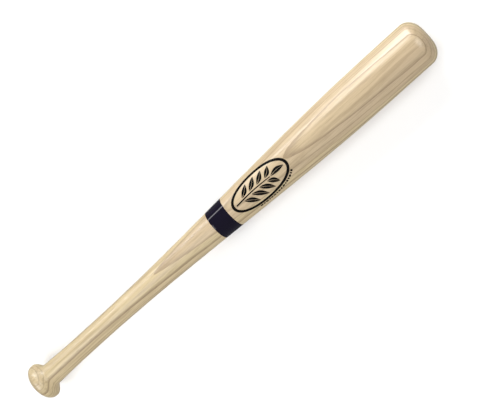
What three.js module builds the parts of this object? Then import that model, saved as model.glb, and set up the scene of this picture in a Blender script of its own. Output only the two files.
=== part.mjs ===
import * as THREE from 'three';

// A one-piece wooden baseball bat of child's size, in millimetres.
// Its axis is X: the knob's end face is at the origin and the barrel points along +X.
// The stamped emblem faces up, along +Z.

// The turned billet
const batLength = 635;
const barrelDiameter = 57.15;
const barrelLength = 77; // full-diameter stretch, up to the barrel's end face
const barrelCrownDepth = 16.5; // how far the barrel's end is rounded over
const barrelFaceDiameter = 16; // flat left where the billet was parted off
const handleDiameter = 26.2;
const taperStart = 111; // distance from the knob's end face to the first swelling
const knobDiameter = 47.6;
const knobCrownDepth = 10;
const knobRimWidth = 2; // full-diameter stretch of the knob
const knobBackLength = 12; // slope from the knob's rim down to the handle
const knobFaceDiameter = 17;
const flareHeight = 1.4; // extra radius of the handle where it meets the knob
const flareLength = 64;

// The painted ring at the throat
const bandStart = 305; // distance from the knob's end face
const bandWidth = 25.4;
const bandThickness = 0.25;

// The stamped emblem: an oval outline round an ash sprig
const emblemGap = 7.3; // between the painted ring and the oval
const emblemLength = 86; // along the bat
const emblemWidth = 41; // round the bat
const outlineStroke = 3.6;
const foilThickness = 0.25;
const bondGap = 0.12; // clearance between the wood and the paint or foil on it

// The sprig inside the oval
const sprigMargin = 2.4; // between the sprig's tips and the oval's inner edge
const stemWidth = 1.8;
const stemArch = 1.2; // how far the stem bows to one side at its middle
const leafPairs = 4;
const leafSpacing = 12; // between pairs, along the stem
const firstLeafPair = 11; // from the foot of the stem
const leafWidth = 6.2;
const leafTipWidth = 0.6;
const leafCurl = 1.2; // sideways bow of a leaf
const leafAngle = THREE.MathUtils.degToRad(40); // between a leaf and the stem
const islandGap = 0.9; // bare wood between a leaf and the stem

// The caption under the oval: plain dashes of unequal length
const captionGap = 1.2; // between the oval and the dashes
const captionHeight = 2.6;
const captionSpace = 1.3; // between dashes
const captionStart = THREE.MathUtils.degToRad(-112); // round the oval, from the barrel side
const captionDashes = [
  3.2, 2.0, 3.6, 1.6, 2.6, 3.4, 1.8, 3.0, 2.2, 3.6, 1.6, 2.8, 2.0, 3.2, 1.8, 2.6,
];

// Facets
const roundSegments = 48; // round the bat
const crownSteps = 6;
const knobBackSteps = 7;
const flareSteps = 4;
const taperSteps = 16;
const outlineSegments = 72;
const ribbonStep = 2.6; // longest facet of a foil ribbon

const ashWood = { color: 0xd9bf92, roughness: 0.42, metalness: 0 };
const navyPaint = { color: 0x1d1b2b, roughness: 0.3, metalness: 0 };
const blackFoil = { color: 0x15130f, roughness: 0.45, metalness: 0 };

const knobRimStart = knobCrownDepth;
const knobBackStart = knobRimStart + knobRimWidth;
const flareStart = knobBackStart + knobBackLength;
const flareEnd = flareStart + flareLength;
const taperEnd = batLength - barrelLength;
const barrelCrownStart = batLength - barrelCrownDepth;

function quarterRound(faceDiameter, fullDiameter, depth, fromFace) {
  const rise = (fullDiameter - faceDiameter) / 2;
  const inward = 1 - fromFace / depth;
  return faceDiameter / 2 + rise * Math.sqrt(Math.max(0, 1 - inward * inward));
}

// Radius of the turned wood at a distance along the bat.
function surfaceRadius(x) {
  const handleRadius = handleDiameter / 2;
  if (x < knobRimStart) {
    return quarterRound(knobFaceDiameter, knobDiameter, knobCrownDepth, x);
  }
  if (x < knobBackStart) {
    return knobDiameter / 2;
  }
  if (x < flareStart) {
    const slope = 0.5 + 0.5 * Math.cos((Math.PI * (x - knobBackStart)) / knobBackLength);
    const cove = handleRadius + flareHeight;
    return cove + (knobDiameter / 2 - cove) * slope;
  }
  if (x > barrelCrownStart) {
    return quarterRound(barrelFaceDiameter, barrelDiameter, barrelCrownDepth, batLength - x);
  }
  const flare = x < flareEnd ? flareHeight * ((flareEnd - x) / flareLength) ** 2 : 0;
  const swell = THREE.MathUtils.smoothstep(x, taperStart, taperEnd);
  return handleRadius + flare + (barrelDiameter / 2 - handleRadius) * swell;
}

// Distances of the profile's points along the bat, closer together where it curves.
function profileStations() {
  const stations = [];
  for (let step = 0; step < crownSteps; step += 1) {
    const angle = (step / crownSteps) * (Math.PI / 2);
    stations.push(knobCrownDepth * (1 - Math.cos(angle)));
  }
  stations.push(knobRimStart);
  for (let step = 0; step < knobBackSteps; step += 1) {
    stations.push(knobBackStart + (step / knobBackSteps) * knobBackLength);
  }
  for (let step = 0; step < flareSteps; step += 1) {
    stations.push(flareStart + (step / flareSteps) * flareLength);
  }
  for (let step = 0; step <= taperSteps; step += 1) {
    stations.push(taperStart + (step / taperSteps) * (taperEnd - taperStart));
  }
  for (let step = 0; step <= crownSteps; step += 1) {
    const angle = (step / crownSteps) * (Math.PI / 2);
    stations.push(barrelCrownStart + barrelCrownDepth * Math.sin(angle));
  }
  return stations;
}

function namedMesh(name, geometry, finish) {
  const mesh = new THREE.Mesh(geometry, new THREE.MeshStandardMaterial(finish));
  mesh.name = name;
  return mesh;
}

// A closed profile or one that starts and ends on the axis, turned about the bat's axis.
function turned(name, points, finish) {
  const mesh = namedMesh(name, new THREE.LatheGeometry(points, roundSegments), finish);
  mesh.rotation.z = -Math.PI / 2;
  return mesh;
}

function ashBillet() {
  const points = profileStations().map((x) => new THREE.Vector2(surfaceRadius(x), x));
  points.unshift(new THREE.Vector2(0, 0));
  points.push(new THREE.Vector2(0, batLength));
  return turned('ash_billet', points, ashWood);
}

// A coat that follows the taper between its two square edges.
function throatBand() {
  const inner = [];
  const outer = [];
  const steps = 3;
  for (let step = 0; step <= steps; step += 1) {
    const x = bandStart + (step / steps) * bandWidth;
    inner.push(new THREE.Vector2(surfaceRadius(x) + bondGap, x));
    outer.push(new THREE.Vector2(surfaceRadius(x) + bondGap + bandThickness, x));
  }
  const points = [inner[0], ...outer, ...inner.reverse()];
  return turned('throat_band', points, navyPaint);
}

// Lays a flat geometry onto the bat. place() turns each of its points into a place on the
// emblem: x along the bat from the oval's centre, y round the bat, z above the bond.
function laidOnBat(geometry, place) {
  const centre = bandStart + bandWidth + emblemGap + emblemLength / 2;
  const position = geometry.getAttribute('position');
  const point = new THREE.Vector3();
  for (let index = 0; index < position.count; index += 1) {
    place(point.fromBufferAttribute(position, index));
    const radius = surfaceRadius(centre + point.x);
    const angle = point.y / radius;
    const height = radius + bondGap + point.z;
    position.setXYZ(index, centre + point.x, height * Math.sin(angle), height * Math.cos(angle));
  }
  geometry.computeVertexNormals();
  return geometry;
}

function emblemOutline() {
  const outerRadius = emblemWidth / 2;
  const innerRadius = outerRadius - outlineStroke;
  const section = [
    new THREE.Vector2(innerRadius, 0),
    new THREE.Vector2(outerRadius, 0),
    new THREE.Vector2(outerRadius, foilThickness),
    new THREE.Vector2(innerRadius, foilThickness),
    new THREE.Vector2(innerRadius, 0),
  ];
  const ring = new THREE.LatheGeometry(section, outlineSegments).rotateX(Math.PI / 2);
  const stretch = (emblemLength - emblemWidth) / 2;
  const geometry = laidOnBat(ring, (point) => {
    const angle = Math.atan2(point.y, point.x);
    point.x += stretch * Math.cos(angle);
  });
  return namedMesh('emblem_outline', geometry, blackFoil);
}

// A ribbon of foil from a foot in a direction, with its own width and sideways bow on the way.
function foilRibbon(name, foot, direction, length, widthAt, bowAt) {
  const steps = Math.max(1, Math.ceil(length / ribbonStep));
  const strip = new THREE.BoxGeometry(length, 1, foilThickness, steps, 2, 1);
  const geometry = laidOnBat(strip, (point) => {
    const along = point.x + length / 2;
    const share = along / length;
    const across = point.y * widthAt(share) + bowAt(share);
    const x = foot.x + along * Math.cos(direction) - across * Math.sin(direction);
    const y = foot.y + along * Math.sin(direction) + across * Math.cos(direction);
    point.set(x, y, point.z + foilThickness / 2);
  });
  return namedMesh(name, geometry, blackFoil);
}

// The sprig's tips all lie on this smaller oval inside the outline.
const tipOval = {
  x: emblemLength / 2 - outlineStroke - sprigMargin,
  y: emblemWidth / 2 - outlineStroke - sprigMargin,
};

// Distance from a point inside the tip oval to the oval in a direction.
function reachToTipOval(foot, direction) {
  const a = (Math.cos(direction) / tipOval.x) ** 2 + (Math.sin(direction) / tipOval.y) ** 2;
  const b =
    (foot.x * Math.cos(direction)) / tipOval.x ** 2 +
    (foot.y * Math.sin(direction)) / tipOval.y ** 2;
  const c = (foot.x / tipOval.x) ** 2 + (foot.y / tipOval.y) ** 2 - 1;
  return (-b + Math.sqrt(b * b - a * c)) / a;
}

function leaf(name, foot, direction, curl) {
  const length = reachToTipOval(foot, direction);
  const widthAt = (share) => leafTipWidth + (leafWidth - leafTipWidth) * Math.sin(Math.PI * share);
  const bowAt = (share) => curl * Math.sin(Math.PI * share);
  return foilRibbon(name, foot, direction, length, widthAt, bowAt);
}

function sprig() {
  const stemFoot = -tipOval.x;
  const stemLength = firstLeafPair + (leafPairs - 1) * leafSpacing + leafSpacing / 2;
  const stemBow = (share) => stemArch * Math.sin(Math.PI * share);
  const stem = foilRibbon(
    'sprig_stem',
    new THREE.Vector2(stemFoot, 0),
    0,
    stemLength,
    () => stemWidth,
    stemBow,
  );
  const leaves = [];
  for (let pair = 0; pair < leafPairs; pair += 1) {
    const along = firstLeafPair + pair * leafSpacing;
    for (const side of [-1, 1]) {
      const offset = side * (stemWidth / 2 + islandGap + leafTipWidth / 2);
      const foot = new THREE.Vector2(stemFoot + along, stemBow(along / stemLength) + offset);
      const sideName = side > 0 ? 'left' : 'right';
      const name = `sprig_leaf_${sideName}_${pair + 1}`;
      leaves.push(leaf(name, foot, side * leafAngle, -side * leafCurl));
    }
  }
  const endFoot = new THREE.Vector2(stemFoot + stemLength + islandGap, 0);
  leaves.push(leaf('sprig_leaf_end', endFoot, 0, leafCurl));
  return [stem, ...leaves];
}

// Dashes set end to end along an oval that runs a fixed gap outside the outline.
function caption() {
  const clear = captionGap + captionHeight / 2;
  const oval = { x: emblemLength / 2 + clear, y: emblemWidth / 2 + clear };
  let angle = captionStart;
  return captionDashes.map((length, index) => {
    const middle = angle + length / 2 / speed(angle);
    const foot = new THREE.Vector2(oval.x * Math.cos(middle), oval.y * Math.sin(middle));
    const direction = Math.atan2(oval.y * Math.cos(middle), -oval.x * Math.sin(middle));
    foot.x -= (length / 2) * Math.cos(direction);
    foot.y -= (length / 2) * Math.sin(direction);
    angle += (length + captionSpace) / speed(middle);
    const name = `caption_dash_${String(index + 1).padStart(2, '0')}`;
    return foilRibbon(name, foot, direction, length, () => captionHeight, () => 0);
  });

  // Length of the oval that one radian of its parameter covers.
  function speed(at) {
    return Math.hypot(oval.x * Math.sin(at), oval.y * Math.cos(at));
  }
}

const bat = new THREE.Group();
bat.add(ashBillet(), throatBand());

const emblem = new THREE.Group();
emblem.add(emblemOutline(), ...sprig(), ...caption());
bat.add(emblem);

export default bat;
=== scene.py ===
"""A turned ash baseball bat of child's size, lying on a pale floor under soft studio light.

The wood is one billet: knob, handle, throat and barrel. A painted ring and a stamped emblem lie
on it. Everything is in metres in the bat's own frame: its axis is X, with the knob's end face at
the origin, and the emblem faces up.
"""

import math

import bmesh
import bpy
from bpy.props import (
    FloatProperty,
    FloatVectorProperty,
    IntProperty,
    PointerProperty,
)
from mathutils import Matrix, Vector


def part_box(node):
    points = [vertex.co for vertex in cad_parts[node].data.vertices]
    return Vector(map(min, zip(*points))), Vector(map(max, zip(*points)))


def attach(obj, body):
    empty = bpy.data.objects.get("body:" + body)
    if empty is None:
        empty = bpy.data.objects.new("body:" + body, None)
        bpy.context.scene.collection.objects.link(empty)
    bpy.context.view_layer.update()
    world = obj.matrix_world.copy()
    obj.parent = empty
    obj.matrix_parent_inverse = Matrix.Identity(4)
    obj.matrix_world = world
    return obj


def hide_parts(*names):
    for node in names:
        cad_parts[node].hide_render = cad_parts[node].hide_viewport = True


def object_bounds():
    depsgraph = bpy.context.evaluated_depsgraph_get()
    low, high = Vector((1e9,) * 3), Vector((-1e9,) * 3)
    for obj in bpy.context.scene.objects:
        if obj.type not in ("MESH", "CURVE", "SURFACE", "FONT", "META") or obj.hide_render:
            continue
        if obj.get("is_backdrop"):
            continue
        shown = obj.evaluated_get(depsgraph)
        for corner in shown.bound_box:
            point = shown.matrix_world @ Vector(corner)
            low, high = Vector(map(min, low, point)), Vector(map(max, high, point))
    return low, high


bl_info = {
    "name": "Ash baseball bat",
    "version": (1, 0, 0),
    "blender": (4, 5, 0),
    "location": "View3D > Sidebar > Bat",
    "description": "Turns, paints and stamps a wooden baseball bat and lights it",
    "category": "Object",
}

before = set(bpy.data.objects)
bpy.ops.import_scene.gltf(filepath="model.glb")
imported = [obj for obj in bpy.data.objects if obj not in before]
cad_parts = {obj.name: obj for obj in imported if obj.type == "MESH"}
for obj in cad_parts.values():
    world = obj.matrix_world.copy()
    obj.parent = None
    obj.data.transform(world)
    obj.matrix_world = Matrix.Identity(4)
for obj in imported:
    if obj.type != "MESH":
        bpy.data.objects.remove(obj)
CAD_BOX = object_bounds()
BILLET_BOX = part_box("ash_billet")
BAND_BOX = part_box("throat_band")
OVAL_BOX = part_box("emblem_outline")

BODY = "root"
MM = 0.001
HALF_TURN = math.pi
FULL_TURN = 2 * math.pi


# ---------------------------------------------------------------------------------------------
# Sizes and colours
# ---------------------------------------------------------------------------------------------


def length(name, description, default):
    """A size in metres."""
    return FloatProperty(
        name=name,
        description=description,
        default=default,
        precision=5,
        subtype="DISTANCE",
        unit="LENGTH",
    )


def colour(name, description, default):
    """A linear colour."""
    return FloatVectorProperty(
        name=name,
        description=description,
        default=default,
        size=3,
        min=0,
        max=1,
        subtype="COLOR",
    )


def amount(name, description, default):
    """A plain number."""
    return FloatProperty(name=name, description=description, default=default, precision=4)


def angle(name, description, degrees):
    """An angle, given in degrees and kept in radians."""
    return FloatProperty(
        name=name,
        description=description,
        default=math.radians(degrees),
        subtype="ANGLE",
        unit="ROTATION",
    )


class BatSizes(bpy.types.PropertyGroup):
    """Sizes of the turned billet."""

    full_length: length("Length", "From the knob's end face to the barrel's", BILLET_BOX[1].x)
    barrel_diameter: length("Barrel diameter", "Across the barrel", 2 * BILLET_BOX[1].z)
    barrel_length: length("Barrel length", "Full-diameter stretch at the end", 77 * MM)
    barrel_crown: length("Barrel crown", "How far the barrel's end is rounded over", 16.5 * MM)
    barrel_face: length("Barrel face", "Diameter of the flat on the barrel's end", 16 * MM)
    handle_diameter: length("Handle diameter", "Across the handle", 26.2 * MM)
    taper_start: length("Taper start", "From the knob's end face to the first swelling", 111 * MM)
    knob_diameter: length("Knob diameter", "Across the knob", 47.6 * MM)
    knob_crown: length("Knob crown", "How far the knob's end is rounded over", 10 * MM)
    knob_rim: length("Knob rim", "Full-diameter stretch of the knob", 2 * MM)
    knob_back: length("Knob back", "Slope from the rim down to the handle", 12 * MM)
    knob_face: length("Knob face", "Diameter of the flat on the knob's end", 17 * MM)
    flare_height: length("Flare height", "Extra handle radius at the knob", 1.4 * MM)
    flare_length: length("Flare length", "Length of that flare", 64 * MM)
    sanding_wave: length("Sanding wave", "Unevenness left by sanding on the lathe", 0.035 * MM)
    facets: IntProperty(name="Facets", description="Facets round the bat", default=192, min=24)
    station_gap: length("Station gap", "Between rings of facets along the bat", 2.5 * MM)


class BandSizes(bpy.types.PropertyGroup):
    """Sizes of the painted ring."""

    start: length("Start", "From the knob's end face to the ring", BAND_BOX[0].x)
    end: length("End", "From the knob's end face to the ring's far edge", BAND_BOX[1].x)
    height: length("Height", "Paint above the wood", 0.12 * MM)
    sink: length("Sink", "Paint below the wood's surface, out of sight", 0.2 * MM)
    edge: length("Edge", "Rounding of the paint's edges", 0.35 * MM)
    waver: length("Waver", "How far the masked edges wander", 0.1 * MM)


class EmblemSizes(bpy.types.PropertyGroup):
    """Sizes of the stamped emblem."""

    start: length("Start", "From the knob's end face to the oval", OVAL_BOX[0].x)
    end: length("End", "From the knob's end face to the oval's far tip", OVAL_BOX[1].x)
    width: length("Width", "Width of the oval, measured round the bat", 41 * MM)
    stroke: length("Stroke", "Width of the oval's line", 3.6 * MM)
    foil_height: length("Foil height", "Foil above the wood", 0.07 * MM)
    foil_sink: length("Foil sink", "Foil below the wood's surface, out of sight", 0.12 * MM)
    foil_edge: length("Foil edge", "Rounding of the foil's edges", 0.12 * MM)
    step: length("Step", "Longest facet of a foil strip", 0.8 * MM)
    sprig_margin: length("Sprig margin", "From the sprig's tips to the oval", 2.4 * MM)
    stem_width: length("Stem width", "Width of the sprig's stem", 1.8 * MM)
    stem_arch: length("Stem arch", "Sideways bow of the stem", 1.2 * MM)
    leaf_pairs: IntProperty(name="Leaf pairs", description="Pairs of leaves", default=4, min=1)
    leaf_spacing: length("Leaf spacing", "Between pairs, along the stem", 12 * MM)
    first_pair: length("First pair", "From the foot of the stem to the first pair", 11 * MM)
    leaf_width: length("Leaf width", "Widest part of a leaf", 6.2 * MM)
    leaf_tip: length("Leaf tip", "Width of a leaf at its ends", 0.6 * MM)
    leaf_curl: length("Leaf curl", "Sideways bow of a leaf", 1.2 * MM)
    leaf_angle: angle("Leaf angle", "Between a leaf and the stem", 40)
    midrib: length("Midrib", "Bare line down the middle of a leaf", 0.4 * MM)
    island_gap: length("Island gap", "Bare wood between a leaf and the stem", 0.9 * MM)
    caption_gap: length("Caption gap", "Between the oval and the dashes", 1.2 * MM)
    caption_height: length("Caption height", "Height of a dash", 2.6 * MM)
    caption_space: length("Caption space", "Between two dashes", 1.3 * MM)
    caption_start: angle("Caption start", "Round the oval, from its barrel end", -112)


class Finishes(bpy.types.PropertyGroup):
    """Colours and grain of the wood, paint and foil."""

    cream: colour("Cream", "Wood of the paler years", (0.585, 0.476, 0.265))
    honey: colour("Honey", "Wood of the darker years", (0.455, 0.334, 0.22))
    earlywood: colour("Earlywood", "Porous wood where a year starts", (0.24, 0.163, 0.08))
    pore: colour("Pore", "Open pores and fine fibres", (0.16, 0.105, 0.06))
    navy: colour("Navy", "Paint of the ring", (0.003, 0.002, 0.008))
    foil: colour("Foil", "Stamped foil", (0.0022, 0.002, 0.0018))
    pith_depth: length("Pith depth", "From the bat's axis down to the tree's centre", 160 * MM)
    twist_knob: angle("Twist at the knob", "Turn of the grain about the bat's axis", 39)
    twist_barrel: angle("Twist at the barrel", "Turn of the grain about the axis", -1)
    coat_roughness: amount("Coat roughness", "Roughness of the clear lacquer", 0.13)


class Studio(bpy.types.PropertyGroup):
    """Camera, floor and lights."""

    floor: colour("Floor", "Floor colour", (0.95, 0.95, 0.95))
    floor_size: length("Floor size", "Side of the floor", 12)
    camera_along: length("Camera along", "Camera's place along the bat", 0.7001)
    camera_height: length("Camera height", "Camera above the bat's axis", 1.524)
    aim_along: length("Aim along", "Point the camera looks at, along the bat", 0.3483)
    aim_aside: length("Aim aside", "Camera and its aim, beside the bat's axis", -0.0124)
    slant: angle("Slant", "Climb of the bat across the frame", 42.01)
    lens: FloatProperty(
        name="Lens", description="Focal length", default=96.1, subtype="DISTANCE_CAMERA"
    )
    strip_power: FloatProperty(
        name="Strip power", description="Key strip beside the bat", default=6.8, unit="POWER"
    )
    barrel_power: FloatProperty(
        name="Barrel power", description="Short strip beside the barrel", default=1.3, unit="POWER"
    )
    fill_power: FloatProperty(
        name="Fill power", description="Soft box opposite the key strip", default=8.5, unit="POWER"
    )
    upper_power: FloatProperty(
        name="Upper power", description="Low soft box past the barrel", default=4.4, unit="POWER"
    )
    knob_power: FloatProperty(
        name="Knob power", description="Soft box beyond the knob", default=31, unit="POWER"
    )
    tip_power: FloatProperty(
        name="Tip power", description="Soft box beyond the barrel's end", default=22, unit="POWER"
    )
    surround: amount("Surround", "Even light of the room", 0.3)


# ---------------------------------------------------------------------------------------------
# Shape of the bat
# ---------------------------------------------------------------------------------------------


def smooth_step(value, low, high):
    """0 below low, 1 above high and an even S between them."""
    share = min(1, max(0, (value - low) / (high - low)))
    return share * share * (3 - 2 * share)


def quarter_round(face_diameter, full_diameter, depth, from_face):
    """Radius on an end that is rounded over from its flat face to the full diameter."""
    rise = (full_diameter - face_diameter) / 2
    inward = 1 - from_face / depth
    return face_diameter / 2 + rise * math.sqrt(max(0, 1 - inward * inward))


# The sanding's unevenness is two waves along the bat: metres to the radian.
LONG_WAVE = 11 * MM
SHORT_WAVE = 6.3 * MM


def surface_radius(x):
    """Radius of the turned wood at a distance along the bat."""
    s = bpy.context.scene.bat_sizes
    knob_back_start = s.knob_crown + s.knob_rim
    flare_start = knob_back_start + s.knob_back
    flare_end = flare_start + s.flare_length
    handle = s.handle_diameter / 2
    if x < s.knob_crown:
        return quarter_round(s.knob_face, s.knob_diameter, s.knob_crown, x)
    if x < knob_back_start:
        return s.knob_diameter / 2
    if x < flare_start:
        slope = 0.5 + 0.5 * math.cos(HALF_TURN * (x - knob_back_start) / s.knob_back)
        cove = handle + s.flare_height
        return cove + (s.knob_diameter / 2 - cove) * slope
    if x > s.full_length - s.barrel_crown:
        from_face = s.full_length - x
        return quarter_round(s.barrel_face, s.barrel_diameter, s.barrel_crown, from_face)
    flare = s.flare_height * (max(0, flare_end - x) / s.flare_length) ** 2
    swell = smooth_step(x, s.taper_start, s.full_length - s.barrel_length)
    wave = math.sin(x / LONG_WAVE) + math.sin(x / SHORT_WAVE + 1)
    hand_work = s.sanding_wave * (0.5 * wave - 1) * smooth_step(x, flare_start, flare_end)
    fade = 1 - smooth_step(x, s.full_length - s.barrel_length, s.full_length - s.barrel_crown)
    return handle + flare + (s.barrel_diameter / 2 - handle) * swell + hand_work * fade


# Rings of facets on each rounded end, and how much closer they lie on the knob.
CROWN_STEPS = 22
KNOB_SHARE_OF_GAP = 0.25


def profile_stations():
    """Distances along the bat at which the billet has a ring of facets."""
    s = bpy.context.scene.bat_sizes
    stations = [
        s.knob_crown * (1 - math.cos(step / CROWN_STEPS * HALF_TURN / 2))
        for step in range(CROWN_STEPS)
    ]
    x = s.knob_crown
    back_end = s.knob_crown + s.knob_rim + s.knob_back
    crown_start = s.full_length - s.barrel_crown
    while x < crown_start - s.station_gap / 2:
        stations.append(x)
        x += s.station_gap * (KNOB_SHARE_OF_GAP if x < back_end else 1)
    stations += [
        crown_start + s.barrel_crown * math.sin(step / CROWN_STEPS * HALF_TURN / 2)
        for step in range(CROWN_STEPS + 1)
    ]
    return stations


def on_bat(x, arc, height):
    """The point above the wood at x along the bat and arc round it from the top."""
    radius = surface_radius(x)
    turn = arc / radius
    return Vector((x, (radius + height) * math.sin(turn), (radius + height) * math.cos(turn)))


# ---------------------------------------------------------------------------------------------
# Mesh helpers
# ---------------------------------------------------------------------------------------------


def join_rings(mesh, rings, closed_round, closed_along):
    """Faces between neighbouring rings of vertices, with their outer sides to the outside."""
    along = len(rings) if closed_along else len(rings) - 1
    for index in range(along):
        ring, following = rings[index], rings[(index + 1) % len(rings)]
        count = len(ring) if closed_round else len(ring) - 1
        for side in range(count):
            after = (side + 1) % len(ring)
            mesh.faces.new((ring[side], following[side], following[after], ring[after]))


def piece_from(mesh, name, material, node):
    """The finished mesh as a smooth object that stands for a CAD node and rides on the bat."""
    bmesh.ops.recalc_face_normals(mesh, faces=mesh.faces)
    data = bpy.data.meshes.new(name)
    mesh.to_mesh(data)
    mesh.free()
    data.shade_smooth()
    data.materials.append(material)
    piece = bpy.data.objects.new(name, data)
    bpy.context.scene.collection.objects.link(piece)
    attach(piece, BODY)
    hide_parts(node)
    return piece


# Height of the foil's shoulders over its full height, and their widest share of half a strip.
FOIL_SHOULDER = 0.4
WIDEST_EDGE = 0.4


def foil_strip(mesh, path, closed=False):
    """A closed strip of foil along a path of (point, left, half width) on the flat emblem.

    Its edges are rounded down and its back lies under the wood's surface.
    """
    s = bpy.context.scene.emblem_sizes
    middle = (s.start + s.end) / 2
    rings = []
    for point, left, half_width in path:
        edge = min(s.foil_edge, half_width * WIDEST_EDGE)
        section = [
            (-half_width, -s.foil_sink),
            (-half_width, s.foil_height * FOIL_SHOULDER),
            (-half_width + edge, s.foil_height),
            (0, s.foil_height),
            (half_width - edge, s.foil_height),
            (half_width, s.foil_height * FOIL_SHOULDER),
            (half_width, -s.foil_sink),
        ]
        ring = []
        for across, height in section:
            place = point + left * across
            ring.append(mesh.verts.new(on_bat(middle + place.x, place.y, height)))
        rings.append(ring)
    join_rings(mesh, rings, closed_round=True, closed_along=closed)
    if not closed:
        mesh.faces.new(rings[0])
        mesh.faces.new(rings[-1])


def ribbon_path(foot, direction, reach, width_at, bow_at, offset_at=None):
    """The path of a ribbon from its foot, for foil_strip."""
    steps = max(3, math.ceil(reach / bpy.context.scene.emblem_sizes.step))
    ahead = Vector((math.cos(direction), math.sin(direction)))
    left = Vector((-ahead.y, ahead.x))
    path = []
    for step in range(steps + 1):
        share = step / steps
        across = bow_at(share) + (offset_at(share) if offset_at else 0)
        path.append((foot + ahead * reach * share + left * across, left, width_at(share) / 2))
    return path


# ---------------------------------------------------------------------------------------------
# Shader maths
# ---------------------------------------------------------------------------------------------


class Value:
    """A number that varies over a surface. Arithmetic on it adds Math nodes."""

    def __init__(self, shader, socket):
        self.shader = shader
        self.socket = socket

    def math(self, operation, *others):
        inputs = dict(enumerate((self, *others)))
        return self.shader.node("ShaderNodeMath", {"operation": operation}, inputs)["Value"]

    def __add__(self, other):
        return self.math("ADD", other)

    def __sub__(self, other):
        return self.math("SUBTRACT", other)

    def __mul__(self, other):
        return self.math("MULTIPLY", other)

    def __truediv__(self, other):
        return self.math("DIVIDE", other)

    def __rsub__(self, other):
        flipped = {0: other, 1: self}
        return self.shader.node("ShaderNodeMath", {"operation": "SUBTRACT"}, flipped)["Value"]

    __radd__ = __add__
    __rmul__ = __mul__

    def between(self, low, high):
        """0 at low, 1 at high and an even S between them."""
        inputs = {"Value": self, "From Min": low, "From Max": high}
        settings = {"interpolation_type": "SMOOTHSTEP"}
        return self.shader.node("ShaderNodeMapRange", settings, inputs)["Result"]


class Outputs:
    """The outputs of a node, by name."""

    def __init__(self, shader, node):
        self.shader = shader
        self.outputs = node.outputs

    def __getitem__(self, name):
        shown = [o for o in self.outputs if name in (o.identifier, o.name) and o.enabled]
        return Value(self.shader, shown[0])


class Shader:
    """The node tree of one material."""

    def __init__(self, name):
        self.material = bpy.data.materials.new(name)
        self.material.use_nodes = True
        self.tree = self.material.node_tree
        self.tree.nodes.clear()

    def node(self, kind, settings=None, inputs=None):
        """Adds a node, sets it up, then sets or links its inputs. Returns its outputs."""
        node = self.tree.nodes.new(kind)
        for name, setting in (settings or {}).items():
            if name == "stops":
                self.set_stops(node.color_ramp, setting)
            else:
                setattr(node, name, setting)
        for name, given in (inputs or {}).items():
            socket = self.input_of(node, name)
            if isinstance(given, Value):
                self.tree.links.new(given.socket, socket)
            else:
                socket.default_value = given
        return Outputs(self, node)

    @staticmethod
    def set_stops(ramp, stops):
        """Gives a ramp of steps its stops, as pairs of a place and a colour."""
        ramp.interpolation = "CONSTANT"
        while len(ramp.elements) < len(stops):
            ramp.elements.new(1.0)
        for element, (place, given) in zip(ramp.elements, stops):
            element.position = place
            element.color = given

    @staticmethod
    def input_of(node, name):
        if isinstance(name, int):
            return node.inputs[name]
        return next(i for i in node.inputs if name in (i.identifier, i.name) and i.enabled)

    def place(self):
        """The place in the wood, in metres."""
        return self.node("ShaderNodeTexCoord")["Object"]

    def parts(self, vector):
        """The X, Y and Z of a vector."""
        split = self.node("ShaderNodeSeparateXYZ", inputs={"Vector": vector})
        return split["X"], split["Y"], split["Z"]

    def noise(self, place, per_metre, offset=0.0, detail=2.0, roughness=0.5):
        """Noise of about 0 to 1, with so many features to the metre along each axis."""
        settings = {"operation": "MULTIPLY_ADD"}
        inputs = {0: place, 1: per_metre, 2: (offset, offset, offset)}
        scaled = self.node("ShaderNodeVectorMath", settings, inputs)["Vector"]
        inputs = {"Vector": scaled, "Scale": 1.0, "Detail": detail, "Roughness": roughness}
        return self.node("ShaderNodeTexNoise", None, inputs)["Fac"]

    def mix(self, factor, first, second):
        """One colour mixed into another."""
        inputs = {
            "Factor_Float": factor,
            "A_Color": self.opaque(first),
            "B_Color": self.opaque(second),
        }
        return self.node("ShaderNodeMix", {"data_type": "RGBA"}, inputs)["Result_Color"]

    @staticmethod
    def opaque(given):
        return given if isinstance(given, Value) else (*given[:3], 1.0)

    def bump(self, height, distance, strength):
        """A normal that follows a height."""
        inputs = {"Height": height, "Distance": distance, "Strength": strength}
        return self.node("ShaderNodeBump", None, inputs)["Normal"]

    def surface(self, **sockets):
        """Ends the tree in a Principled shader with these sockets, and returns the material."""
        inputs = {name.replace("_", " "): given for name, given in sockets.items()}
        ends = {}
        for name, given in inputs.items():
            ends[name] = self.opaque(given) if name.endswith("Color") else given
        shaded = self.node("ShaderNodeBsdfPrincipled", None, ends)["BSDF"]
        self.node("ShaderNodeOutputMaterial", None, {"Surface": shaded})
        return self.material


# ---------------------------------------------------------------------------------------------
# Materials
# ---------------------------------------------------------------------------------------------


# The years of growth: where each starts, in millimetres above the bat's axis, how dark its wood
# is, how strongly its porous start shows and how many millimetres of it are porous.
YEARS = (
    (-32, 0.3, 0.8, 1.6),
    (-27.5, 0.8, 0.9, 1.5),
    (-24, 0.1, 0.7, 2.0),
    (-19.5, 0.7, 1.0, 1.4),
    (-16, 0.2, 0.8, 1.8),
    (-12.5, 0.9, 0.9, 1.3),
    (-8.5, 0.3, 0.7, 2.2),
    (-5, 0.8, 1.0, 1.4),
    (-1.6, 0.1, 0.8, 1.7),
    (2.2, 0.15, 0.7, 1.6),
    (8.4, 0.0, 1.0, 3.6),
    (14.8, 0.7, 0.6, 1.8),
    (19.85, 0.75, 0.7, 1.5),
    (24.8, 0.75, 1.0, 1.4),
)
# The widest porous start that the table can hold, and the table's reach outward, in millimetres.
WIDEST_START = 4
YEARS_SPAN = 64
# The wood is paler near the knob: the share of its tone that is left there, and where the pale
# stretch starts and stops fading, in metres along the bat.
PALE_SHARE = 0.3
PALE_STRETCH = (0.06, 0.21)


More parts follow.
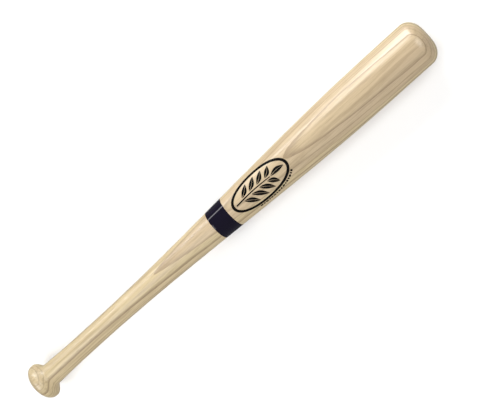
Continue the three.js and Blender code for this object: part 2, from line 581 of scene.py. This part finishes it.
class AshGrain:
    """The growth rings, pores and fibres of the billet, as seen at any place in it."""

    def __init__(self, shader):
        looks = bpy.context.scene.bat_finishes
        sizes = bpy.context.scene.bat_sizes
        self.shader = shader
        self.place = shader.place()
        x, y, z = shader.parts(self.place)

        # The grain turns slowly about the bat's axis on its way to the barrel.
        share = x / sizes.full_length
        twist = looks.twist_knob + share * (looks.twist_barrel - looks.twist_knob)
        cosine, sine = twist.math("COSINE"), twist.math("SINE")
        aside = y * cosine - z * sine
        up = z * cosine + y * sine + looks.pith_depth

        # Height over the bat's axis, measured outward from the tree's centre far below it.
        slow = shader.noise(self.place, (9, 30, 30), offset=3.1, detail=1.0)
        wavy = shader.noise(self.place, (28, 120, 120), offset=7.7, detail=2.0)
        warp = (slow - 0.5) * (1.6 * MM) + (wavy - 0.5) * (0.7 * MM)
        radius = (aside * aside + up * up).math("SQRT")
        height = radius + warp - looks.pith_depth

        # A year starts with a porous band, sharp on its inner side, and ends dense and plain.
        low = YEARS[0][0] * MM
        span = YEARS_SPAN * MM
        stops = []
        for start, tone, strength, width in YEARS:
            place = (start * MM - low) / span
            stops.append((place, (place, tone, strength, width / WIDEST_START)))
        level = (height - low) / span
        years = shader.node("ShaderNodeValToRGB", {"stops": stops}, {"Fac": level})
        start, self.tone, strength = shader.parts(years["Color"])
        width = years["Alpha"] * (WIDEST_START * MM)
        grown = (level - start) * span
        self.tone = self.tone * (PALE_SHARE + (1 - PALE_SHARE) * x.between(*PALE_STRETCH))
        fresh = grown.between(-0.05 * MM, 0.2 * MM) * (1 - (grown / width).between(0.2, 1.0))
        self.early = fresh * strength
        self.late = grown.between(2 * MM, 5.5 * MM)

        fine = shader.noise(self.place, (95, 1500, 1500), offset=1.3, detail=1.0)
        self.fibres = shader.noise(self.place, (190, 3100, 3100), offset=5.9, detail=1.0)
        self.pores = fine.between(0.56, 0.68) * (self.early * 0.85 + 0.1)
        self.streaks = shader.noise(self.place, (9, 260, 260), offset=9.4, detail=4.0, roughness=0.6)
        self.lines = shader.noise(self.place, (22, 620, 620), offset=14.2, detail=3.0, roughness=0.6)
        self.clouds = shader.noise(self.place, (4, 30, 30), offset=12.5, detail=2.0)

    def colour(self):
        looks = bpy.context.scene.bat_finishes
        mix = self.shader.mix
        depth = self.tone * 0.75 + self.clouds.between(0.35, 0.7) * 0.2 + self.late * 0.1
        wood = mix(depth, looks.cream, looks.honey)
        wood = mix(self.early * 0.8, wood, looks.earlywood)
        wood = mix(self.streaks.between(0.46, 0.68) * 0.35, wood, looks.earlywood)
        wood = mix(self.lines.between(0.47, 0.7) * 0.34, wood, looks.earlywood)
        wood = mix(self.fibres.between(0.45, 0.8) * 0.14, wood, looks.pore)
        return mix(self.pores * 0.5, wood, looks.pore)


def ash_under_lacquer():
    """Pale ash with open pores under a clear gloss lacquer."""
    looks = bpy.context.scene.bat_finishes
    shader = Shader("ash_under_lacquer")
    grain = AshGrain(shader)
    relief = grain.fibres * 0.25 + grain.streaks * 0.4 - grain.pores * 0.9
    return shader.surface(
        Base_Color=grain.colour(),
        Roughness=0.38 + grain.early * 0.1 + grain.pores * 0.1,
        Normal=shader.bump(relief, 0.00012, 0.4),
        Specular_IOR_Level=1.0,
        Coat_Weight=0.15,
        Coat_Roughness=looks.coat_roughness,
    )


def navy_paint():
    """Very dark navy brushed on over the wood, with the pores showing faintly through it."""
    looks = bpy.context.scene.bat_finishes
    shader = Shader("navy_paint")
    grain = AshGrain(shader)
    place = grain.place
    brushed = shader.noise(place, (900, 60, 60), offset=2.2, detail=2.0)
    peel = shader.noise(place, (420, 420, 420), offset=4.6, detail=1.0)
    worn = shader.noise(place, (260, 260, 260), offset=8.8, detail=3.0).between(0.66, 0.78)
    lighter = tuple(channel * 2.2 + 0.001 for channel in looks.navy)
    paint = shader.mix(brushed * 0.45 + worn * 0.4, looks.navy, lighter)
    relief = peel * 0.35 + brushed * 0.25 - grain.pores * 0.6
    return shader.surface(
        Base_Color=paint,
        Roughness=0.4 + worn * 0.15 + brushed * 0.05,
        Normal=shader.bump(relief, 0.00006, 0.35),
        Specular_IOR_Level=0.0,
        Coat_Weight=0.54,
        Coat_Roughness=0.05,
    )


def black_foil():
    """Hot-stamped foil, missing in the odd open pore and a little grey where it is thin."""
    looks = bpy.context.scene.bat_finishes
    shader = Shader("black_foil")
    grain = AshGrain(shader)
    thin = shader.noise(grain.place, (160, 900, 900), offset=6.1, detail=3.0)
    missed = (grain.pores * 1.3).between(0.5, 1.0)
    lighter = tuple(channel * 2.5 + 0.003 for channel in looks.foil)
    ink = shader.mix(thin.between(0.5, 0.75) * 0.6, looks.foil, lighter)
    ink = shader.mix(missed * 0.25, ink, looks.earlywood)
    relief = thin * 0.4 - grain.pores * 0.8
    return shader.surface(
        Base_Color=ink,
        Roughness=0.36 + thin * 0.16,
        Normal=shader.bump(relief, 0.00005, 0.4),
        Specular_IOR_Level=0.05,
        Coat_Weight=0.06,
        Coat_Roughness=looks.coat_roughness,
    )


def pale_floor():
    """A plain matt floor."""
    studio = bpy.context.scene.bat_studio
    shader = Shader("pale_floor")
    return shader.surface(Base_Color=studio.floor, Roughness=0.9, Specular_IOR_Level=0.1)


# ---------------------------------------------------------------------------------------------
# Operators
# ---------------------------------------------------------------------------------------------


class BAT_OT_turn_billet(bpy.types.Operator):
    """Turn the ash billet: knob, handle, throat and barrel"""

    bl_idname = "bat.turn_billet"
    bl_label = "Turn the billet"

    def execute(self, context):
        sizes = context.scene.bat_sizes
        mesh = bmesh.new()
        rings = []
        for x in profile_stations():
            radius = surface_radius(x)
            ring = []
            for facet in range(sizes.facets):
                turn = facet / sizes.facets * FULL_TURN
                ring.append(mesh.verts.new((x, radius * math.sin(turn), radius * math.cos(turn))))
            rings.append(ring)
        join_rings(mesh, rings, closed_round=True, closed_along=False)
        for ring, x in ((rings[0], 0), (rings[-1], sizes.full_length)):
            self.close_face(mesh, ring, x)
        piece_from(mesh, "billet", ash_under_lacquer(), "ash_billet")
        return {"FINISHED"}

    @staticmethod
    def close_face(mesh, ring, x):
        """Fills an end face with a disc of small faces round its centre."""
        outer = ring
        for share in (0.75, 0.5, 0.25):
            inner = [mesh.verts.new((x, v.co.y * share, v.co.z * share)) for v in ring]
            join_rings(mesh, [outer, inner], closed_round=True, closed_along=False)
            outer = inner
        centre = mesh.verts.new((x, 0, 0))
        for side, vertex in enumerate(outer):
            mesh.faces.new((vertex, outer[(side + 1) % len(outer)], centre))


# Facets across the paint, and the height of its shoulders over its full height.
BAND_STEPS = 12
BAND_SHOULDER = 0.35


class BAT_OT_paint_band(bpy.types.Operator):
    """Paint the dark ring round the throat"""

    bl_idname = "bat.paint_band"
    bl_label = "Paint the ring"

    def execute(self, context):
        sizes = context.scene.band_sizes
        facets = context.scene.bat_sizes.facets
        mesh = bmesh.new()
        rings = []
        for facet in range(facets):
            turn = facet / facets * FULL_TURN
            start = sizes.start + sizes.waver * (1 + self.wander(turn)) / 2
            end = sizes.end - sizes.waver * (1 + self.wander(turn + 2)) / 2
            flat_start, flat_end = start + sizes.edge, end - sizes.edge
            section = [(start, -sizes.sink), (start, sizes.height * BAND_SHOULDER)]
            for step in range(BAND_STEPS + 1):
                x = flat_start + (flat_end - flat_start) * step / BAND_STEPS
                section.append((x, sizes.height))
            section += [(end, sizes.height * BAND_SHOULDER), (end, -sizes.sink)]
            ring = []
            for x, height in section:
                radius = surface_radius(x) + height
                ring.append(mesh.verts.new((x, radius * math.sin(turn), radius * math.cos(turn))))
            rings.append(ring)
        join_rings(mesh, rings, closed_round=True, closed_along=True)
        piece_from(mesh, "throat_paint", navy_paint(), "throat_band")
        return {"FINISHED"}

    @staticmethod
    def wander(turn):
        """From -1 to 1 round the bat, the same after a full turn."""
        waves = math.sin(3 * turn + 1) + math.sin(8 * turn + 4) + math.sin(17 * turn)
        return waves / 3


# Lengths of the caption's dashes, in millimetres.
CAPTION_DASHES = (3.2, 2.0, 3.6, 1.6, 2.6, 3.4, 1.8, 3.0, 2.2, 3.6, 1.6, 2.8, 2.0, 3.2, 1.8, 2.6)
# How much of its width the stem loses on its way, and how much of its own a leaf's midrib does.
STEM_TAPER = 0.35
MIDRIB_TAPER = 0.6


class Emblem:
    """Where the emblem's strokes run on the flat, with x along the bat from its middle."""

    def __init__(self, sizes):
        self.sizes = sizes
        self.half_length = (sizes.end - sizes.start) / 2
        self.half_width = sizes.width / 2
        inset = sizes.stroke + sizes.sprig_margin
        self.tips = Vector((self.half_length - inset, self.half_width - inset))

    def outline(self):
        """The closed path of the oval's line."""
        steps = math.ceil(self.half_length * 5 / self.sizes.step)
        half_stroke = self.sizes.stroke / 2
        path = []
        for step in range(steps):
            turn = step / steps * FULL_TURN
            ray = Vector((math.cos(turn), math.sin(turn)))
            outer = Vector((self.half_length * ray.x, self.half_width * ray.y))
            inner = outer - ray * self.sizes.stroke
            path.append(((outer + inner) / 2, (inner - outer).normalized(), half_stroke))
        return path

    def reach(self, foot, direction):
        """Distance from a foot inside the oval of tips to that oval."""
        ahead = Vector((math.cos(direction) / self.tips.x, math.sin(direction) / self.tips.y))
        place = Vector((foot.x / self.tips.x, foot.y / self.tips.y))
        a, b, c = ahead.dot(ahead), ahead.dot(place), place.dot(place) - 1
        return (-b + math.sqrt(b * b - a * c)) / a

    def stem_length(self):
        s = self.sizes
        return s.first_pair + (s.leaf_pairs - 0.5) * s.leaf_spacing

    def stem_bow(self, share):
        return self.sizes.stem_arch * math.sin(HALF_TURN * share)

    def stem(self):
        """The stem's path, thinning towards its end."""
        foot = Vector((-self.tips.x, 0))

        def width_at(share):
            return self.sizes.stem_width * (1 - STEM_TAPER * share)

        return ribbon_path(foot, 0, self.stem_length(), width_at, self.stem_bow)

    def leaf_halves(self, foot, direction, curl):
        """The two paths of a leaf, either side of its midrib."""
        s = self.sizes
        reach = self.reach(foot, direction)

        def full(share):
            return s.leaf_tip + (s.leaf_width - s.leaf_tip) * math.sin(HALF_TURN * share)

        def slit(share):
            return min(s.midrib * (1 - MIDRIB_TAPER * share), full(share) / 3)

        def half(share):
            return (full(share) - slit(share)) / 2

        def bow(share):
            return curl * math.sin(HALF_TURN * share)

        def right_of_midrib(share):
            return -(half(share) + slit(share)) / 2

        def left_of_midrib(share):
            return (half(share) + slit(share)) / 2

        return [
            ribbon_path(foot, direction, reach, half, bow, beside)
            for beside in (right_of_midrib, left_of_midrib)
        ]

    def leaves(self):
        """Each leaf's CAD node and its two paths."""
        s = self.sizes
        stem_foot = -self.tips.x
        for pair in range(s.leaf_pairs):
            along = s.first_pair + pair * s.leaf_spacing
            for side, side_name in ((-1, "right"), (1, "left")):
                gap = s.stem_width / 2 + s.island_gap + s.leaf_tip / 2
                bow = self.stem_bow(along / self.stem_length())
                foot = Vector((stem_foot + along, bow + side * gap))
                paths = self.leaf_halves(foot, side * s.leaf_angle, -side * s.leaf_curl)
                yield f"sprig_leaf_{side_name}_{pair + 1}", paths
        foot = Vector((stem_foot + self.stem_length() + s.island_gap, 0))
        yield "sprig_leaf_end", self.leaf_halves(foot, 0, s.leaf_curl)

    def dashes(self):
        """Each dash's CAD node and path, in a row along an oval outside the outline."""
        s = self.sizes
        clear = s.caption_gap + s.caption_height / 2
        oval = Vector((self.half_length + clear, self.half_width + clear))
        turn = s.caption_start
        for number, millimetres in enumerate(CAPTION_DASHES, 1):
            node = f"caption_dash_{number:02d}"
            dash = millimetres * MM
            middle = turn + dash / 2 / self.speed(oval, turn)
            direction = math.atan2(oval.y * math.cos(middle), -oval.x * math.sin(middle))
            ahead = Vector((math.cos(direction), math.sin(direction)))
            foot = Vector((oval.x * math.cos(middle), oval.y * math.sin(middle)))
            foot -= ahead * dash / 2
            turn += (dash + s.caption_space) / self.speed(oval, middle)
            yield node, ribbon_path(
                foot, direction, dash, lambda share: s.caption_height, lambda share: 0
            )

    @staticmethod
    def speed(oval, turn):
        """Length of the oval that one radian of its parameter covers."""
        return math.hypot(oval.x * math.sin(turn), oval.y * math.cos(turn))


def foil_piece(node, paths, foil, closed=False):
    """A piece of foil that stands for a CAD node."""
    mesh = bmesh.new()
    for path in paths:
        foil_strip(mesh, path, closed)
    return piece_from(mesh, node + "_foil", foil, node)


class BAT_OT_stamp_emblem(bpy.types.Operator):
    """Stamp the oval outline and the sprig inside it"""

    bl_idname = "bat.stamp_emblem"
    bl_label = "Stamp the emblem"

    def execute(self, context):
        emblem = Emblem(context.scene.emblem_sizes)
        foil = black_foil()
        foil_piece("emblem_outline", [emblem.outline()], foil, closed=True)
        foil_piece("sprig_stem", [emblem.stem()], foil)
        for node, halves in emblem.leaves():
            foil_piece(node, halves, foil)
        return {"FINISHED"}


class BAT_OT_stamp_caption(bpy.types.Operator):
    """Stamp the row of dashes beside the oval"""

    bl_idname = "bat.stamp_caption"
    bl_label = "Stamp the caption"

    def execute(self, context):
        emblem = Emblem(context.scene.emblem_sizes)
        foil = black_foil()
        for node, path in emblem.dashes():
            foil_piece(node, [path], foil)
        return {"FINISHED"}


# Lights over the bat, by the setting that holds their power: how far along the bat from its
# middle, the tilt from overhead in degrees, the distance, and the size along and across the bat.
LIGHTS = (
    ("key_strip", "strip_power", 0, 69, 1.05, (1.6, 0.126)),
    ("barrel_strip", "barrel_power", 0.16, 48, 0.9, (0.34, 0.09)),
    ("fill_box", "fill_power", -0.22, -56, 1.4, (1.3, 1.2)),
    ("upper_box", "upper_power", 0.45, 78, 0.75, (0.5, 0.5)),
)
# The two boxes beyond the ends: their tilt from overhead in degrees, distance and size.
END_TILT = 42
END_DISTANCE = 2.5
END_SIZE = (1.5, 1.5)


class BAT_OT_light_studio(bpy.types.Operator):
    """Lay the floor and set the lights and the camera"""

    bl_idname = "bat.light_studio"
    bl_label = "Light the studio"

    def execute(self, context):
        studio = context.scene.bat_studio
        self.lay_floor(context, studio)
        centre = (CAD_BOX[0] + CAD_BOX[1]) / 2
        for name, power, along, tilt, distance, size in LIGHTS:
            aside = Vector((0, math.sin(math.radians(tilt)), math.cos(math.radians(tilt))))
            foot = centre + Vector((along, 0, 0))
            lamp = self.add_soft_box(name, foot, aside, distance, size, getattr(studio, power))
            # The fill lights the wood without a reflection of its own in the lacquer.
            lamp.visible_glossy = name != "fill_box"
        end_angle = math.radians(END_TILT)
        for name, side, power in (
            ("tip_box", 1, studio.tip_power),
            ("knob_box", -1, studio.knob_power),
        ):
            outward = Vector((side * math.sin(end_angle), 0, math.cos(end_angle)))
            self.add_soft_box(name, centre, outward, END_DISTANCE, END_SIZE, power)
        self.set_surround(context, studio)
        self.add_camera(context, studio)
        return {"FINISHED"}

    @staticmethod
    def lay_floor(context, studio):
        mesh = bmesh.new()
        bmesh.ops.create_grid(mesh, x_segments=1, y_segments=1, size=studio.floor_size / 2)
        data = bpy.data.meshes.new("floor")
        mesh.to_mesh(data)
        mesh.free()
        data.materials.append(pale_floor())
        floor = bpy.data.objects.new("floor", data)
        floor.location.z = CAD_BOX[0].z
        floor.visible_glossy = False
        context.scene.collection.objects.link(floor)
        floor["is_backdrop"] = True

    @staticmethod
    def add_soft_box(name, centre, outward, distance, size, power):
        """A rectangular light that faces the bat: its first size runs along it.

        A light straight beyond an end of the bat has its first size across the bat.
        """
        light = bpy.data.lights.new(name, "AREA")
        light.shape = "RECTANGLE"
        light.size, light.size_y = size
        light.energy = power
        lamp = bpy.data.objects.new(name, light)
        lamp.rotation_mode = "QUATERNION"
        back = outward.normalized()
        right = Vector((1, 0, 0)) - back * back.x
        if abs(back.y) < 0.01:
            right = Vector((0, 1, 0))
        right.normalize()
        up = back.cross(right)
        lamp.rotation_quaternion = Matrix((right, up, back)).transposed().to_quaternion()
        lamp.location = centre + back * distance
        bpy.context.scene.collection.objects.link(lamp)
        return lamp

    @staticmethod
    def set_surround(context, studio):
        world = bpy.data.worlds.new("studio_surround")
        world.use_nodes = True
        background = world.node_tree.nodes["Background"]
        background.inputs["Color"].default_value = (1, 1, 1, 1)
        background.inputs["Strength"].default_value = studio.surround
        context.scene.world = world
        context.scene.view_settings.view_transform = "Standard"

    @staticmethod
    def add_camera(context, studio):
        """The camera over the bat, leaning towards its barrel, with the bat across the frame."""
        data = bpy.data.cameras.new("camera")
        data.lens = studio.lens
        camera = bpy.data.objects.new("camera", data)
        place = Vector((studio.camera_along, studio.aim_aside, studio.camera_height))
        aim = Vector((studio.aim_along, studio.aim_aside, 0))
        back = (place - aim).normalized()
        along = (Vector((1, 0, 0)) - back * back.x).normalized()
        aside = back.cross(along)
        right = along * math.cos(studio.slant) - aside * math.sin(studio.slant)
        up = along * math.sin(studio.slant) + aside * math.cos(studio.slant)
        camera.rotation_mode = "QUATERNION"
        camera.rotation_quaternion = Matrix((right, up, back)).transposed().to_quaternion()
        camera.location = place
        context.scene.collection.objects.link(camera)
        context.scene.camera = camera


class VIEW3D_PT_bat(bpy.types.Panel):
    """The bat's sizes, colours and making steps"""

    bl_label = "Ash baseball bat"
    bl_idname = "VIEW3D_PT_bat"
    bl_space_type = "VIEW_3D"
    bl_region_type = "UI"
    bl_category = "Bat"

    def draw(self, context):
        for operator in OPERATORS:
            self.layout.operator(operator.bl_idname)
        for holder in SETTINGS:
            box = self.layout.box()
            settings = getattr(context.scene, holder)
            for name in settings.__annotations__:
                box.prop(settings, name)


# ---------------------------------------------------------------------------------------------
# Registration
# ---------------------------------------------------------------------------------------------


SETTINGS = {
    "bat_sizes": BatSizes,
    "band_sizes": BandSizes,
    "emblem_sizes": EmblemSizes,
    "bat_finishes": Finishes,
    "bat_studio": Studio,
}

# In the order in which the studio and the bat are made.
OPERATORS = (
    BAT_OT_light_studio,
    BAT_OT_turn_billet,
    BAT_OT_paint_band,
    BAT_OT_stamp_emblem,
    BAT_OT_stamp_caption,
)

CLASSES = (*SETTINGS.values(), *OPERATORS, VIEW3D_PT_bat)


def register():
    for registered in CLASSES:
        bpy.utils.register_class(registered)
    for name, group in SETTINGS.items():
        setattr(bpy.types.Scene, name, PointerProperty(type=group))


def unregister():
    for name in SETTINGS:
        delattr(bpy.types.Scene, name)
    for registered in reversed(CLASSES):
        bpy.utils.unregister_class(registered)


def main():
    register()
    bpy.ops.bat.light_studio()
    bpy.ops.bat.turn_billet()
    bpy.ops.bat.paint_band()
    bpy.ops.bat.stamp_emblem()
    bpy.ops.bat.stamp_caption()
    boxes = {"cad": CAD_BOX, "visual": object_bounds()}
    {name: [list(corner) for corner in box] for name, box in boxes.items()}


if __name__ == "__main__":
    main()
